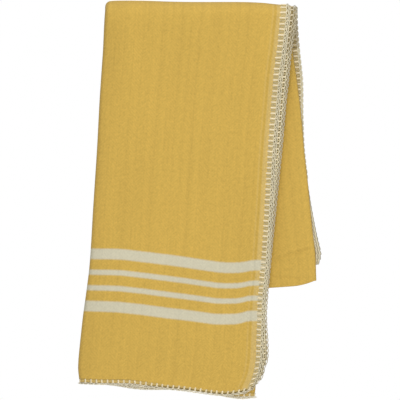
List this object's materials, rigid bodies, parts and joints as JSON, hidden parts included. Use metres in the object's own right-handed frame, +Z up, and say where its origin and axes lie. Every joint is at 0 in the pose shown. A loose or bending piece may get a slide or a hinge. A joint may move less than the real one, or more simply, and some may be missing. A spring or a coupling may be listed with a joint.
{
  "type": "turkish towel, folded and hung",
  "caption": "Flat-woven cotton towel with pale end stripes and a blanket-stitched yarn edge, folded in quarters and hung over a rail.",
  "frame": {"origin": "under the top fold, at mid width, where the rail that holds the towel would touch the cloth", "axes": "+Z up, X along the rail, the towel's striped front faces -Y"},
  "size_m": [0.3057, 0.0364, 0.499],
  "materials": {
    "cloth": "matt flat-woven cotton, mustard yellow with pale stripes near the hems",
    "edging_yarn": "matt twisted cotton yarn, cream"
  },
  "bodies": {
    "root": {"cloth": "cloth", "edging_yarn": "edging_yarn"}
  },
  "joints": []
}
